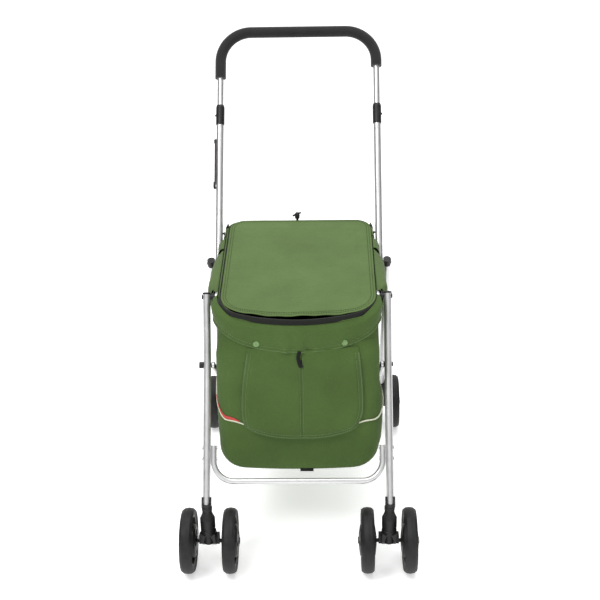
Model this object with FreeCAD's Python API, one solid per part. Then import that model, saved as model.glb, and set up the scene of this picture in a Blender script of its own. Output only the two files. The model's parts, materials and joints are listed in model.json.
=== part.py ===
import FreeCAD, Part
import math
import os
from FreeCAD import Vector

# Folding four-wheel trolley: an aluminium frame on casters that carries a closed fabric bag.
# X is to the right seen from the front, Y runs back, Z is up. The side plane is laid out as
# (y, z) pairs from the point on the floor under the front wheels, and every piece is exported
# in the part's own frame, whose origin is on the floor under the middle of the whole trolley.

# ---- driving dimensions, mm ----
ORIGIN_Y = 320.0            # front wheels to the middle of the trolley

WHEEL_R = 68.0
TREAD_HALF = 13.0
TYRE_INNER_R = 53.0
AXLE_R = 4.0
RUN_FIT = 0.06              # radial clearance on axles and pivots
WINDOWS = 5                 # round windows in each wheel's hub
WINDOW_AT = 22.0
WINDOW_R = 5.6

CASTER_X = 186.0
CASTER_WHEEL_X = 43.5       # each twin wheel from the caster's middle
CASTER_HUB_HALF = 18.2
SWIVEL_Y = -14.0
STEM_R = 5.0
SWIVEL_Z = 150.0            # where the caster turns under its socket
HOUSING_R = 15.3

REAR_WHEEL_X = 231.0
REAR_HUB_HALF = 15.0
REAR_AXLE = (605.0, WHEEL_R)

LEG_R = 8.0
LEG_WALL = 1.2
FRONT_LEG_X = 188.0
REAR_LEG_X = 197.5
LEG_PAST_PIVOT = 5.5        # rear leg above the back pivot
REAR_CAP_R = 9.0
REAR_CAP_FLAT = 8.4         # from the leg's middle to the flat on the cap's inner side
LEG_FOOT = (-4.0, 158.0)

RAIL_PIVOT = (194.0, 537.0)     # front leg to side rail
BRACE_PIVOT = (142.0, 405.0)    # front leg to brace
BACK_PIVOT = (402.0, 533.0)     # side rail, rear leg and handle
FOOT_PIVOT = (595.0, 85.0)      # brace to rear foot
PIVOT_R = 3.0

RAIL_X = 171.0
RAIL_R = 6.0
RAIL_WALL = 1.0
RAIL_STOP = 42.0            # the rail's round tube ends this far before the back pivot
TAB_THICK = 4.5
TAB_HALF = 7.0

BRACE_X = 176.0
BRACE_R = 6.0

CROSS_BAR_X = 173.6
CROSS_BAR_R = 6.0
CROSS_BAR_BEND = 42.0

HANDLE_X = 180.5
HANDLE_R = 8.25
HANDLE_WALL = 0.9
HANDLE_TOP = (697.5, 994.0)     # middle of the grip bar
UPPER_R = 7.0
UPPER_WALL = 1.0
UPPER_BEND = 71.0
GRIP_R = 12.5
COLLAR_R = 9.8
COLLAR_FROM = 323.0         # along the handle from the back pivot
COLLAR_TO = 370.0
LOWER_TUBE_TO = 360.0
UPPER_TUBE_FROM = 200.0
GRIP_LEFT_FROM = 436.0
GRIP_RIGHT_FROM = 462.0
HOOK_PIVOT_AT = 284.0
HOOK_LENGTH = 104.0

BAG_HALF = 163.0
BAG_FRONT = 88.0
BAG_BACK = 490.0
BAG_FLOOR = 180.0
BAG_WALL = 4.0
RIM_NOSE = (324.0, 70.0)    # radius of the front at the rim, and of the arcs that join it to the sides
BODY_NOSE = (1500.0, 30.0)  # the same for the body below, whose front is nearly flat
BAG_WAIST = 436.0           # height at which one becomes the other
BAG_CORNER = 32.0
BAG_FLOOR_CORNER = 50.0
BAG_FLOOR_END = 14.0
RIM_FRONT_Z = 521.0         # top of the bag's wall at its front
RIM_SLOPE = math.tan(math.radians(10.2))
RIM_HIGH = 8.0
COVER_HALF = 159.0
COVER_FRONT = 107.0
COVER_BACK = 486.0
COVER_THICK = 4.0
FLAP_THICK = 2.2
FLAP_GAP = 0.8              # between the flap and the bag's wall
FLAP_HEM_Z = 462.0
FLAP_BACK = 140.0
SNAP_X = (-81.0, 97.0)
POCKET_LEFT = -112.0
POCKET_RIGHT = 126.0

LEFT = -1
RIGHT = 1
SIDES = (("left", LEFT), ("right", RIGHT))
X_AXIS = Vector(1, 0, 0)

os.makedirs("parts", exist_ok=True)


def save(name, shape):
    """Write one piece in the part's own frame."""
    moved = shape.copy()
    moved.translate(Vector(0, -ORIGIN_Y, 0))
    moved.exportStep("parts/" + name + ".step")


def at(x, point):
    return Vector(x, point[0], point[1])


def rod(start, end, radius):
    run = end - start
    return Part.makeCylinder(radius, run.Length, start, run)


def cross_rod(x_from, x_to, point, radius):
    """A rod along X through a point of the side plane."""
    low = min(x_from, x_to)
    return Part.makeCylinder(radius, abs(x_to - x_from), at(low, point), X_AXIS)


def straight_tube(start, end, radius, wall):
    return rod(start, end, radius).cut(rod(start, end, radius - wall))


def along(start, end, distance):
    """The side-plane point a distance from start towards end."""
    run = (end[0] - start[0], end[1] - start[1])
    length = math.hypot(run[0], run[1])
    return (start[0] + run[0] * distance / length, start[1] + run[1] * distance / length)


def distance_between(start, end):
    return math.hypot(end[0] - start[0], end[1] - start[1])


def bent_path(points, bend):
    """Straight runs through the points, joined by arcs of one bend radius."""
    edges = []
    last = points[0]
    for before, corner, after in zip(points, points[1:], points[2:]):
        into = (corner - before).normalize()
        out = (after - corner).normalize()
        turn = into.getAngle(out)
        setback = bend * math.tan(turn / 2)
        start = corner - into * setback
        end = corner + out * setback
        inward = (out - into).normalize()
        middle = corner + inward * (bend / math.cos(turn / 2) - bend)
        edges.append(Part.LineSegment(last, start).toShape())
        edges.append(Part.Arc(start, middle, end).toShape())
        last = end
    edges.append(Part.LineSegment(last, points[-1]).toShape())
    return Part.Wire(edges)


def swept_round(path, start, direction, radius):
    circle = Part.Wire(Part.makeCircle(radius, start, direction))
    return path.makePipeShell([circle], True, False)


def bent_tube(points, bend, radius, wall):
    path = bent_path(points, bend)
    direction = points[1] - points[0]
    outer = swept_round(path, points[0], direction, radius)
    inner = swept_round(path, points[0], direction, radius - wall)
    return outer.cut(inner)


def turned(profile, centre, axis_to):
    """Revolve an outline of (radius, height) pairs about a line from centre towards axis_to."""
    points = [Vector(radius, 0, height) for radius, height in profile]
    wire = Part.makePolygon(points + [points[0]])
    solid = Part.Face(wire).revolve(Vector(0, 0, 0), Vector(0, 0, 1), 360)
    solid.Placement = FreeCAD.Placement(centre, FreeCAD.Rotation(Vector(0, 0, 1), axis_to))
    return solid


def side_plate(points, x_from, x_to):
    """A plate whose outline is in the side plane."""
    low = min(x_from, x_to)
    corners = [at(low, point) for point in points]
    wire = Part.makePolygon(corners + [corners[0]])
    return Part.Face(wire).extrude(Vector(abs(x_to - x_from), 0, 0))


def link(start, end, x_from, x_to, half):
    """A flat link with round ends between two side-plane points."""
    run = Vector(0, end[0] - start[0], end[1] - start[1])
    normal = run.cross(X_AXIS).normalize() * half
    low = min(x_from, x_to)
    first = at(low, start)
    second = at(low, end)
    wire = Part.makePolygon([first + normal, second + normal, second - normal, first - normal, first + normal])
    plate = Part.Face(wire).extrude(Vector(abs(x_to - x_from), 0, 0))
    plate = plate.fuse(cross_rod(x_from, x_to, start, half))
    return plate.fuse(cross_rod(x_from, x_to, end, half)).removeSplitter()


# ---- wheels ----
def tyre(x):
    shoulder = 5.0
    profile = [
        (TYRE_INNER_R, -TREAD_HALF + 3),
        (WHEEL_R - shoulder, -TREAD_HALF),
        (WHEEL_R - 1.2, -TREAD_HALF + shoulder),
        (WHEEL_R, 0),
        (WHEEL_R - 1.2, TREAD_HALF - shoulder),
        (WHEEL_R - shoulder, TREAD_HALF),
        (TYRE_INNER_R, TREAD_HALF - 3),
    ]
    return turned(profile, Vector(x, 0, 0), X_AXIS)


def rim(x, hub_half):
    """A moulded wheel with a deep hub, a thin web and five windows."""
    bore = AXLE_R + RUN_FIT
    profile = [
        (bore, -hub_half),
        (13.0, -hub_half),
        (31.0, -hub_half + 2.5),
        (34.0, -hub_half + 6),
        (36.0, -4.0),
        (48.0, -4.0),
        (49.0, -TREAD_HALF + 3),
        (TYRE_INNER_R, -TREAD_HALF + 3),
        (TYRE_INNER_R, TREAD_HALF - 3),
        (49.0, TREAD_HALF - 3),
        (48.0, 4.0),
        (36.0, 4.0),
        (34.0, hub_half - 6),
        (31.0, hub_half - 2.5),
        (13.0, hub_half),
        (bore, hub_half),
    ]
    wheel = turned(profile, Vector(x, 0, 0), X_AXIS)
    for window in range(WINDOWS):
        angle = math.radians(90 + 360 * window / WINDOWS)
        centre = (WINDOW_AT * math.cos(angle), WINDOW_AT * math.sin(angle))
        wheel = wheel.cut(cross_rod(x - hub_half - 1, x + hub_half + 1, centre, WINDOW_R))
    return wheel


def place_wheel(shape, axle):
    shape.translate(at(0, axle))
    return shape


front_axle = (0.0, WHEEL_R)
for side, sign in SIDES:
    for place, offset in (("outer", sign), ("inner", -sign)):
        wheel_x = sign * CASTER_X + offset * CASTER_WHEEL_X
        save("front_tyre_" + side + "_" + place, place_wheel(tyre(wheel_x), front_axle))
        save("front_rim_" + side + "_" + place, place_wheel(rim(wheel_x, CASTER_HUB_HALF), front_axle))
    rear_x = sign * REAR_WHEEL_X
    save("rear_tyre_" + side, place_wheel(tyre(rear_x), REAR_AXLE))
    save("rear_rim_" + side, place_wheel(rim(rear_x, REAR_HUB_HALF), REAR_AXLE))


# ---- casters ----
def caster_fork(x):
    """Swivel housing with a neck and stem above, and the block that holds the axle behind it."""
    swivel = Vector(x, SWIVEL_Y, 0)
    housing = turned(
        [(0, 73), (8.5, 73), (11.5, 76), (11.5, 97), (HOUSING_R, 98), (HOUSING_R, 106), (14.4, 107),
         (14.4, 111), (HOUSING_R, 112), (HOUSING_R, 134), (13.4, 138), (10.0, SWIVEL_Z - 3), (10.0, SWIVEL_Z - 0.4),
         (STEM_R, SWIVEL_Z - 0.4), (STEM_R, SWIVEL_Z + 8), (0, SWIVEL_Z + 8)],
        swivel, Vector(0, 0, 1))
    arm = side_plate([(-26, 100), (-2, 100), (10, 84), (10, 66), (-4, 61), (-20, 76)], x - 14.6, x + 14.6)
    shoulders = side_plate([(-9, 66), (9, 66), (9, 84), (-9, 84)], x - 21, x + 21)
    boss = cross_rod(x - 21, x + 21, front_axle, 6.5)
    bore = cross_rod(x - 30, x + 30, front_axle, AXLE_R)
    return housing.fuse(arm).fuse(shoulders).fuse(boss).cut(bore).removeSplitter()


def caster_axle(x):
    reach = CASTER_WHEEL_X + CASTER_HUB_HALF + 0.3
    axle = cross_rod(x - reach, x + reach, front_axle, AXLE_R)
    for end in (-1, 1):
        axle = axle.fuse(cross_rod(x + end * reach, x + end * (reach + 1.3), front_axle, 7.0))
    return axle.removeSplitter()


# ---- front frame ----
leg_top = along(BRACE_PIVOT, RAIL_PIVOT, distance_between(BRACE_PIVOT, RAIL_PIVOT) + 6)


def front_leg(x):
    points = [at(x, LEG_FOOT), at(x, BRACE_PIVOT), at(x, leg_top)]
    leg = bent_tube(points, 400.0, LEG_R, LEG_WALL)
    for pivot in (BRACE_PIVOT, RAIL_PIVOT):
        leg = leg.cut(cross_rod(x - 12, x + 12, pivot, PIVOT_R))
    for hole in rivet_places:
        leg = leg.cut(cross_rod(x - 12, x + 12, hole, 2.0))
    return leg


cross_bar_top = along(LEG_FOOT, BRACE_PIVOT, 121.0)
cross_bar_low = along(LEG_FOOT, BRACE_PIVOT, 48.0)
rivet_places = [along(LEG_FOOT, BRACE_PIVOT, 116.0), along(LEG_FOOT, BRACE_PIVOT, 94.0)]

cross_bar = bent_tube(
    [at(-CROSS_BAR_X, cross_bar_top), at(-CROSS_BAR_X, cross_bar_low),
     at(CROSS_BAR_X, cross_bar_low), at(CROSS_BAR_X, cross_bar_top)],
    CROSS_BAR_BEND, CROSS_BAR_R, 1.0)
for hole in rivet_places:
    cross_bar = cross_bar.cut(cross_rod(-CROSS_BAR_X - 9, CROSS_BAR_X + 9, hole, 2.0))
save("cross_bar", cross_bar)

rivets = []
caps = []
brace_bolts = []
rail_bolts = []
sockets = []
for side, sign in SIDES:
    leg_x = sign * FRONT_LEG_X
    outer_face = leg_x + sign * LEG_R
    inner_face = leg_x - sign * LEG_R
    save("front_leg_" + side, front_leg(leg_x))
    save("caster_fork_" + side, caster_fork(sign * CASTER_X))
    save("caster_axle_" + side, caster_axle(sign * CASTER_X))

    # two rivets hold each upright of the cross bar to the leg
    bar_face = sign * (CROSS_BAR_X - CROSS_BAR_R)
    for hole in rivet_places:
        rivet = cross_rod(bar_face - sign * 0.3, outer_face + sign * 0.3, hole, 2.0)
        rivet = rivet.fuse(cross_rod(bar_face - sign * 1.8, bar_face - sign * 0.1, hole, 3.6))
        rivet = rivet.fuse(cross_rod(outer_face + sign * 0.1, outer_face + sign * 1.8, hole, 3.6))
        rivets.append(rivet.removeSplitter())

    # a plug closes the top of the leg
    above = along(BRACE_PIVOT, leg_top, distance_between(BRACE_PIVOT, leg_top) + 5)
    plug_base = at(leg_x, leg_top)
    plug_run = at(leg_x, above) - plug_base
    caps.append(turned([(0, 0.05), (LEG_R + 0.5, 0.05), (LEG_R + 0.5, 2.0), (LEG_R - 1.5, 3.6), (0, 4)],
                       plug_base, plug_run))

    # the brace turns on a bolt through the leg, with a spacer inside the leg
    brace_face = sign * (BRACE_X - BRACE_R + 3.3)
    tab_outer = brace_face + sign * TAB_THICK
    bolt = cross_rod(brace_face - sign * 2.0, outer_face + sign * 1.0, BRACE_PIVOT, PIVOT_R)
    bolt = bolt.fuse(cross_rod(brace_face - sign * 2.0, brace_face - sign * 0.3, BRACE_PIVOT, 5.0))
    bolt = bolt.fuse(cross_rod(tab_outer + sign * 0.3, inner_face, BRACE_PIVOT, 5.5))
    knob_reach = 8.5 if sign == LEFT else 2.0
    knob_r = 6.8 if sign == LEFT else 5.0
    bolt = bolt.fuse(cross_rod(outer_face, outer_face + sign * knob_reach, BRACE_PIVOT, knob_r))
    brace_bolts.append(bolt.removeSplitter())

    # the side rail turns on a bolt through the top of the leg
    rail_face = sign * (RAIL_X - 5.5)
    rail_outer = rail_face + sign * TAB_THICK
    bolt = cross_rod(rail_face - sign * 1.6, outer_face + sign * 0.8, RAIL_PIVOT, PIVOT_R)
    bolt = bolt.fuse(cross_rod(rail_face - sign * 1.6, rail_face - sign * 0.3, RAIL_PIVOT, 5.0))
    bolt = bolt.fuse(cross_rod(rail_outer + sign * 0.3, inner_face, RAIL_PIVOT, 5.5))
    bolt = bolt.fuse(cross_rod(outer_face, outer_face + sign * 1.6, RAIL_PIVOT, 5.0))
    rail_bolts.append(bolt.removeSplitter())

    # the socket cups the leg's foot between two ears and carries the caster's stem
    swivel = Vector(sign * CASTER_X, SWIVEL_Y, 0)
    socket = turned([(0, SWIVEL_Z), (10.0, SWIVEL_Z), (10.6, SWIVEL_Z + 5), (10.6, SWIVEL_Z + 10), (8, SWIVEL_Z + 14),
                     (0, SWIVEL_Z + 14)], swivel, Vector(0, 0, 1))
    sleeve_top = along(LEG_FOOT, BRACE_PIVOT, 16.0)
    sleeve_low = along(LEG_FOOT, BRACE_PIVOT, -6.0)
    socket = socket.fuse(rod(at(leg_x, sleeve_low), at(leg_x, sleeve_top), LEG_R + 2.4))
    socket = socket.cut(rod(at(leg_x, LEG_FOOT), at(leg_x, along(LEG_FOOT, BRACE_PIVOT, 60.0)), LEG_R))
    socket = socket.cut(Part.makeCylinder(STEM_R + RUN_FIT, 9, swivel + Vector(0, 0, SWIVEL_Z - 0.5)))
    # the ears stand beside the tube, and its front shows between them
    mouth = Part.makeBox(2 * LEG_R - 2, 30, 40, Vector(leg_x - LEG_R + 1, -30, SWIVEL_Z + 12.5))
    trim = Part.makeBox(80, 80, 40, Vector(leg_x - 40, -50, SWIVEL_Z - 40))
    sockets.append(socket.cut(mouth).cut(trim).removeSplitter())

save("cross_bar_rivets", Part.makeCompound(rivets))
save("leg_top_caps", Part.makeCompound(caps))
save("brace_bolts", Part.makeCompound(brace_bolts))
save("rail_bolts", Part.makeCompound(rail_bolts))
save("caster_sockets", Part.makeCompound(sockets))


# ---- folding links ----
def flattened_tube(start, end, x, radius, wall, tab_from, tab_to, end_gap):
    """A round tube that is pressed flat at both pivots."""
    length = distance_between(start, end)
    tube_start = along(start, end, 18.0)
    tube_end = along(start, end, length - end_gap)
    body = straight_tube(at(x, tube_start), at(x, tube_end), radius, wall)
    for pivot, meeting in ((start, along(start, end, 22.0)), (end, along(start, end, length - end_gap - 4))):
        tab = link(pivot, meeting, tab_from, tab_to, TAB_HALF)
        body = body.fuse(tab)
        body = body.cut(cross_rod(tab_from - 5, tab_to + 5, pivot, PIVOT_R + RUN_FIT))
    return body.removeSplitter()


def brace(sign):
    inner = sign * (BRACE_X - BRACE_R + 3.3)
    return flattened_tube(BRACE_PIVOT, FOOT_PIVOT, sign * BRACE_X, BRACE_R, 1.0,
                          inner, inner + sign * TAB_THICK, 18.0)


def rail(sign):
    inner = sign * (RAIL_X - 5.5)
    return flattened_tube(RAIL_PIVOT, BACK_PIVOT, sign * RAIL_X, RAIL_R, RAIL_WALL,
                          inner, inner + sign * TAB_THICK, RAIL_STOP)


def rail_sleeve(sign):
    """The fabric tunnel at the bag's side that wraps the rail."""
    length = distance_between(RAIL_PIVOT, BACK_PIVOT)
    start = at(sign * RAIL_X, along(RAIL_PIVOT, BACK_PIVOT, 31.0))
    end = at(sign * RAIL_X, along(RAIL_PIVOT, BACK_PIVOT, length - RAIL_STOP - 13))
    return rod(start, end, RAIL_R + 1.4).cut(rod(start, end, RAIL_R + 0.1))


# ---- rear frame ----
def rear_leg(x):
    top = along(BACK_PIVOT, FOOT_PIVOT, -LEG_PAST_PIVOT)
    length = distance_between(BACK_PIVOT, FOOT_PIVOT)
    leg = straight_tube(at(x, top), at(x, along(BACK_PIVOT, FOOT_PIVOT, length - 10)), LEG_R, LEG_WALL)
    return leg.cut(cross_rod(x - 12, x + 12, BACK_PIVOT, PIVOT_R))


def rear_leg_cap(x):
    """A moulded cap that slips over the leg's top end, flat where the handle tube swings past it."""
    top = at(x, along(BACK_PIVOT, FOOT_PIVOT, -LEG_PAST_PIVOT - 2.2))
    leg_end = at(x, along(BACK_PIVOT, FOOT_PIVOT, -LEG_PAST_PIVOT))
    skirt = at(x, along(BACK_PIVOT, FOOT_PIVOT, 9.0))
    cap = rod(top, skirt, REAR_CAP_R).cut(rod(leg_end, skirt, LEG_R))
    flat_face = REAR_LEG_X - REAR_CAP_FLAT
    pivot = at(x, BACK_PIVOT)
    relief_from = flat_face - 4 if x > 0 else -flat_face
    relief = Part.makeBox(4, 60, 60, Vector(relief_from, pivot.y - 30, pivot.z - 30))
    return cap.cut(relief).cut(cross_rod(x - 12, x + 12, BACK_PIVOT, PIVOT_R))


PEDAL_PIVOT = (630.0, 92.0)


def rear_foot(sign):
    """Moulded foot: it grips the leg, holds the axle, and carries the brace pin and pedal."""
    inner = sign * (REAR_LEG_X - 11.5)
    outer = sign * (REAR_LEG_X + 13.0)
    length = distance_between(BACK_PIVOT, FOOT_PIVOT)
    grip_top = along(BACK_PIVOT, FOOT_PIVOT, length - 52)
    foot = link(REAR_AXLE, grip_top, inner, outer, 13.5)
    tongue = link(REAR_AXLE, PEDAL_PIVOT, sign * (REAR_LEG_X - 4.5), sign * (REAR_LEG_X + 4.5), 7.5)
    foot = foot.fuse(tongue)
    leg_low = along(BACK_PIVOT, FOOT_PIVOT, length - 10)
    leg_high = along(BACK_PIVOT, FOOT_PIVOT, length - 90)
    foot = foot.cut(rod(at(sign * REAR_LEG_X, leg_low), at(sign * REAR_LEG_X, leg_high), LEG_R))
    foot = foot.cut(cross_rod(-REAR_WHEEL_X, REAR_WHEEL_X, REAR_AXLE, AXLE_R))
    foot = foot.cut(cross_rod(inner - sign * 20, outer + sign * 5, PEDAL_PIVOT, PIVOT_R + RUN_FIT))
    brace_inner = sign * (BRACE_X - BRACE_R + 3.3)
    brace_outer = brace_inner + sign * TAB_THICK
    pin = cross_rod(brace_inner - sign * 2.0, inner + sign * 2.0, FOOT_PIVOT, PIVOT_R)
    pin = pin.fuse(cross_rod(brace_inner - sign * 2.0, brace_inner - sign * 0.3, FOOT_PIVOT, 5.5))
    pin = pin.fuse(cross_rod(brace_outer + sign * 0.3, inner + sign * 1.0, FOOT_PIVOT, 5.5))
    return foot.fuse(pin).removeSplitter()


def brake_pedal(sign):
    """A foot lever with two ears on the foot's tongue."""
    x_in = sign * (REAR_LEG_X - 11.0)
    x_out = sign * (REAR_LEG_X + 12.5)
    pad = side_plate([(644, 97), (649, 86), (678, 99), (690, 106), (688, 111), (672, 109)], x_in, x_out)
    pedal = pad
    for ear_from, ear_to in ((x_in, sign * (REAR_LEG_X - 5.0)), (sign * (REAR_LEG_X + 5.0), x_out)):
        pedal = pedal.fuse(link(PEDAL_PIVOT, (652.0, 97.0), ear_from, ear_to, 6.5))
    pedal = pedal.fuse(cross_rod(x_in, x_out, PEDAL_PIVOT, PIVOT_R))
    return pedal.removeSplitter()


rear_axle = cross_rod(-REAR_WHEEL_X - REAR_HUB_HALF - 0.3, REAR_WHEEL_X + REAR_HUB_HALF + 0.3, REAR_AXLE, AXLE_R)
rear_caps = []
back_pins = []
for side, sign in SIDES:
    leg_x = sign * REAR_LEG_X
    save("brace_" + side, brace(sign))
    save("rail_" + side, rail(sign))
    save("rail_sleeve_" + side, rail_sleeve(sign))
    save("rear_leg_" + side, rear_leg(leg_x))
    save("rear_foot_" + side, rear_foot(sign))
    save("brake_pedal_" + side, brake_pedal(sign))

    end_x = sign * (REAR_WHEEL_X + REAR_HUB_HALF + 0.3)
    rear_axle = rear_axle.fuse(cross_rod(end_x, end_x + sign * 3.0, REAR_AXLE, 7.0))

    rear_caps.append(rear_leg_cap(leg_x))

    handle_inner = sign * (HANDLE_X - HANDLE_R)
    outer_face = leg_x + sign * REAR_CAP_R
    pin = cross_rod(handle_inner - sign * 1.4, outer_face + sign * 0.8, BACK_PIVOT, PIVOT_R)
    pin = pin.fuse(cross_rod(handle_inner - sign * 1.6, handle_inner - sign * 0.3, BACK_PIVOT, 5.0))
    pin = pin.fuse(cross_rod(outer_face, outer_face + sign * 1.6, BACK_PIVOT, 5.0))
    back_pins.append(pin.removeSplitter())
save("rear_axle", rear_axle.removeSplitter())
save("rear_leg_caps", Part.makeCompound(rear_caps))
save("back_pivot_pins", Part.makeCompound(back_pins))


# ---- handle ----
def on_handle(distance):
    return along(BACK_PIVOT, HANDLE_TOP, distance)


handle_length = distance_between(BACK_PIVOT, HANDLE_TOP)
button_place = on_handle(346.0)


def lower_tube(x):
    tube = straight_tube(at(x, on_handle(-11)), at(x, on_handle(LOWER_TUBE_TO)), HANDLE_R, HANDLE_WALL)
    tube = tube.cut(cross_rod(x - 12, x + 12, BACK_PIVOT, PIVOT_R + RUN_FIT))
    outward = 12 if x > 0 else -12
    tube = tube.cut(cross_rod(x, x + outward, button_place, 2.9))
    tube = tube.cut(cross_rod(x, x - outward, on_handle(67.0), 2.2))
    if x < 0:
        tube = tube.cut(cross_rod(x, x + outward, on_handle(HOOK_PIVOT_AT), 2.5))
    return tube


def collar(x):
    start = at(x, on_handle(COLLAR_FROM))
    run = at(x, on_handle(COLLAR_TO)) - start
    length = COLLAR_TO - COLLAR_FROM
    shell = turned([(0, 0), (COLLAR_R - 0.8, 0), (COLLAR_R, 1.5), (COLLAR_R, length - 5),
                    (UPPER_R + 1.4, length), (0, length)], start, run)
    shell = shell.cut(rod(start, at(x, on_handle(LOWER_TUBE_TO)), HANDLE_R))
    shell = shell.cut(rod(start, at(x, on_handle(COLLAR_TO + 5)), UPPER_R + 0.3))
    outward = 14 if x > 0 else -14
    return shell.cut(cross_rod(x, x + outward, button_place, 2.9))


def height_button(x):
    """A sprung button in the collar: a domed head over a plain shank."""
    outward = 1 if x > 0 else -1
    shank = cross_rod(x + outward * (UPPER_R + 1.5), x + outward * (COLLAR_R + 1.0), button_place, 2.5)
    centre = at(x + outward * (COLLAR_R - 0.6), button_place)
    dome = Part.makeSphere(3.0, centre).common(cross_rod(x + outward * (COLLAR_R + 0.6),
                                                         x + outward * (COLLAR_R + 4), button_place, 2.5))
    return shank.fuse(dome).removeSplitter()


def bag_clip(x):
    """A headed stud on the inside of the handle tube, which the bag's rear corner hooks over."""
    inward = -1 if x > 0 else 1
    face = x + inward * HANDLE_R
    place = on_handle(67.0)
    stud = cross_rod(face - inward * 1.5, face + inward * 4.0, place, 2.2)
    return stud.fuse(cross_rod(face + inward * 2.4, face + inward * 4.0, place, 4.2)).removeSplitter()


clips = []
for side, sign in SIDES:
    save("handle_tube_" + side, lower_tube(sign * HANDLE_X))
    save("handle_collar_" + side, collar(sign * HANDLE_X))
    save("height_button_" + side, height_button(sign * HANDLE_X))
    clips.append(bag_clip(sign * HANDLE_X))
save("bag_clips", Part.makeCompound(clips))

upper_points = [at(-HANDLE_X, on_handle(UPPER_TUBE_FROM)), at(-HANDLE_X, HANDLE_TOP),
                at(HANDLE_X, HANDLE_TOP), at(HANDLE_X, on_handle(UPPER_TUBE_FROM))]
save("handle_bar", bent_tube(upper_points, UPPER_BEND, UPPER_R, UPPER_WALL))

grip_points = [at(-HANDLE_X, on_handle(GRIP_LEFT_FROM)), at(-HANDLE_X, HANDLE_TOP),
               at(HANDLE_X, HANDLE_TOP), at(HANDLE_X, on_handle(GRIP_RIGHT_FROM))]
save("handle_grip", bent_tube(grip_points, UPPER_BEND, GRIP_R, GRIP_R - UPPER_R))

# the fold hook hangs on a pin outside the left handle tube
hook_pivot = on_handle(HOOK_PIVOT_AT)
hook_face = -(HANDLE_X + HANDLE_R)
hook_pin = cross_rod(hook_face + 0.8, hook_face - 4.6, hook_pivot, 2.5)
hook_pin = hook_pin.fuse(cross_rod(hook_face - 3.8, hook_face - 5.2, hook_pivot, 4.5))
save("hook_pin", hook_pin.removeSplitter())
hook_end = on_handle(HOOK_PIVOT_AT - HOOK_LENGTH)
hook_arm = link(hook_pivot, hook_end, hook_face - 0.5, hook_face - 3.5, 5.5)
hook_tip = cross_rod(hook_face - 0.5, hook_face - 5.5, hook_end, 8.5)
hook_tip = hook_tip.cut(cross_rod(hook_face, hook_face - 6, hook_end, 4.2))
slot_mouth = (hook_end[0] + 9.0, hook_end[1] - 5.8)
hook_arm = hook_arm.fuse(hook_tip).cut(cross_rod(hook_face, hook_face - 6, hook_end, 4.2))
hook_arm = hook_arm.cut(link(hook_end, slot_mouth, hook_face, hook_face - 6, 3.2))
save("fold_hook", hook_arm.cut(cross_rod(hook_face, hook_face - 6, hook_pivot, 2.5 + RUN_FIT)).removeSplitter())


# ---- bag ----
def nose_centre(nose):
    return Vector(0, BAG_FRONT + nose[0], 0)


def nose_corner_centre(nose):
    """The centre of the arc that touches both the bowed front and the straight side."""
    radius, corner = nose
    across = BAG_HALF - corner
    return Vector(across, BAG_FRONT + radius - math.sqrt((radius - corner) ** 2 - across ** 2), 0)


def rim_nose_y(x, grow):
    """Where the bowed front stands at a distance from its middle, grown by an amount."""
    return nose_centre(RIM_NOSE).y - math.sqrt((RIM_NOSE[0] + grow) ** 2 - x ** 2)


def arc_about(centre, radius, towards, height):
    """Three points of an arc, from, through and to, at directions from its centre."""
    return [Vector(centre.x, centre.y, height) + way * (radius / way.Length) for way in towards]


def plan_prism(nose, grow, z_from, z_to):
    """The bag's plan as an upright prism: a bowed front, straight sides and round back corners."""
    front_centre = nose_centre(nose)
    corner_centre = nose_corner_centre(nose)
    meeting = corner_centre - front_centre
    front = arc_about(front_centre, nose[0] + grow,
                      [Vector(-meeting.x, meeting.y, 0), Vector(0, -1, 0), meeting], z_from)
    side_way = Vector(1, 0, 0)
    corner = arc_about(corner_centre, nose[1] + grow,
                       [meeting, meeting / meeting.Length + side_way, side_way], z_from)
    back_centre = Vector(BAG_HALF - BAG_CORNER, BAG_BACK - BAG_CORNER, 0)
    rear = arc_about(back_centre, BAG_CORNER + grow, [side_way, Vector(1, 1, 0), Vector(0, 1, 0)], z_from)

    def mirrored(points):
        return [Vector(-point.x, point.y, point.z) for point in reversed(points)]

    arcs = [front, corner, rear, mirrored(rear), mirrored(corner)]
    edges = []
    for first, following in zip(arcs, arcs[1:] + arcs[:1]):
        edges.append(Part.Arc(*first).toShape())
        if first[-1].distanceToPoint(following[0]) > 0.001:
            edges.append(Part.LineSegment(first[-1], following[0]).toShape())
    return Part.Face(Part.Wire(edges)).extrude(Vector(0, 0, z_to - z_from))


def end_profile(grow):
    """The bag seen from its front: square at the top, with large round bottom corners."""
    half = BAG_HALF + grow
    low = BAG_FLOOR - grow
    box = Part.makeBox(2 * half, BAG_BACK - BAG_FRONT + 100, 500, Vector(-half, BAG_FRONT - 50, low))
    bottoms = [edge for edge in box.Edges
               if edge.BoundBox.YLength > 300 and edge.BoundBox.ZMax < low + 1]
    return box.makeFillet(BAG_FLOOR_CORNER + grow, bottoms)


def side_profile(grow):
    """The bag seen from its side: round bottom ends and a top that rises to the back."""
    low = BAG_FLOOR - grow
    front = BAG_FRONT - grow
    back = BAG_BACK + grow
    box = Part.makeBox(2 * BAG_HALF + 40, back - front, 500, Vector(-BAG_HALF - 20, front, low))
    bottoms = [edge for edge in box.Edges
               if edge.BoundBox.XLength > 300 and edge.BoundBox.ZMax < low + 1]
    return box.makeFillet(BAG_FLOOR_END + grow, bottoms)


def rim_height(y):
    return RIM_FRONT_Z + (y - BAG_FRONT) * RIM_SLOPE


def above_rim(offset):
    """Everything higher than the sloping top of the bag's wall plus an offset."""
    front = BAG_FRONT - 60
    back = BAG_BACK + 60
    corners = [(front, rim_height(front) + offset), (back, rim_height(back) + offset), (back, 900), (front, 900)]
    return side_plate(corners, -BAG_HALF - 40, BAG_HALF + 40)


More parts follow.
